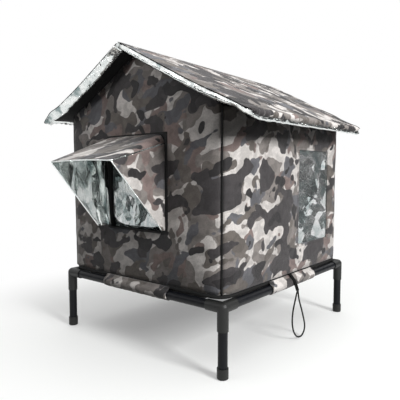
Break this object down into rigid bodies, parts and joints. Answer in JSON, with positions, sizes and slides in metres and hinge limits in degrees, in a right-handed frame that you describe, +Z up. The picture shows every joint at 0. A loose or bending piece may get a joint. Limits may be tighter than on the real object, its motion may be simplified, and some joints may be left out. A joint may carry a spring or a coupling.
{
  "type": "elevated cat house",
  "caption": "Padded fabric pet house with a lift-off folding gable roof, clear door flap under a hooded awning and a side window, standing on a low tube frame.",
  "frame": {"origin": "on the floor under the middle of the stand", "axes": "+X along the front wall towards the window side, -Y out of the doorway, +Z up"},
  "size_m": [0.5026, 0.5984, 0.5571],
  "materials": {
    "printed_fabric": "woven print in irregular brown, taupe, grey and black patches",
    "black_fabric": "plain woven black",
    "foil_board": "crinkled silver foil on foam",
    "clear_sheet": "clear flexible sheet, slightly rippled",
    "hook_and_loop": "black hook and loop tape",
    "cord": "round braided black cord",
    "coated_tube": "satin black coating",
    "black_plastic": "moulded black, satin"
  },
  "bodies": {
    "house": {"awning_gusset_left": "printed_fabric", "awning_gusset_right": "printed_fabric", "awning_top": "printed_fabric", "corner_connectors": "black_plastic", "door_binding": "black_fabric", "flap_header": "black_fabric", "floor_board": "foil_board", "floor_cover": "black_fabric", "foot_caps": "black_plastic", "front_wall_board": "foil_board", "front_wall_cover": "printed_fabric", "left_wall_board": "foil_board", "left_wall_cover": "printed_fabric", "leg_front_left": "coated_tube", "leg_front_right": "coated_tube", "leg_rear_left": "coated_tube", "leg_rear_right": "coated_tube", "piping_front_left": "black_fabric", "piping_front_right": "black_fabric", "piping_rear_left": "black_fabric", "piping_rear_right": "black_fabric", "rail_front": "coated_tube", "rail_left": "coated_tube", "rail_rear": "coated_tube", "rail_right": "coated_tube", "rail_sleeve_front": "printed_fabric", "rail_sleeve_left": "printed_fabric", "rail_sleeve_rear": "printed_fabric", "rail_sleeve_right": "printed_fabric", "rear_wall_board": "foil_board", "rear_wall_cover": "printed_fabric", "right_wall_board": "foil_board", "right_wall_cover": "printed_fabric", "tie_loop_cord": "cord", "tie_loop_tab": "cord", "wall_hook_strips": "hook_and_loop", "window_pane": "clear_sheet"},
    "roof_left": {"roof_left_board": "foil_board", "roof_left_cover": "printed_fabric", "roof_left_loop_strips": "hook_and_loop", "ridge_roll": "printed_fabric"},
    "roof_right": {"roof_right_board": "foil_board", "roof_right_cover": "printed_fabric", "roof_right_loop_strips": "hook_and_loop"},
    "door_flap": {"door_flap": "clear_sheet"}
  },
  "joints": [
    {"name": "roof_lift", "type": "slide", "parent": "house", "child": "roof_left", "axis": [0, 0, 1], "range_m": [0, 0.16]},
    {"name": "ridge_fold", "type": "hinge", "parent": "roof_left", "child": "roof_right", "pos_m": [0, 0, 0.55214], "axis": [0, -1, 0], "range_deg": [0, 100]},
    {"name": "flap_swing", "type": "hinge", "parent": "house", "child": "door_flap", "pos_m": [0, -0.2205, 0.3804], "axis": [1, 0, 0], "range_deg": [-60, 75]}
  ]
}
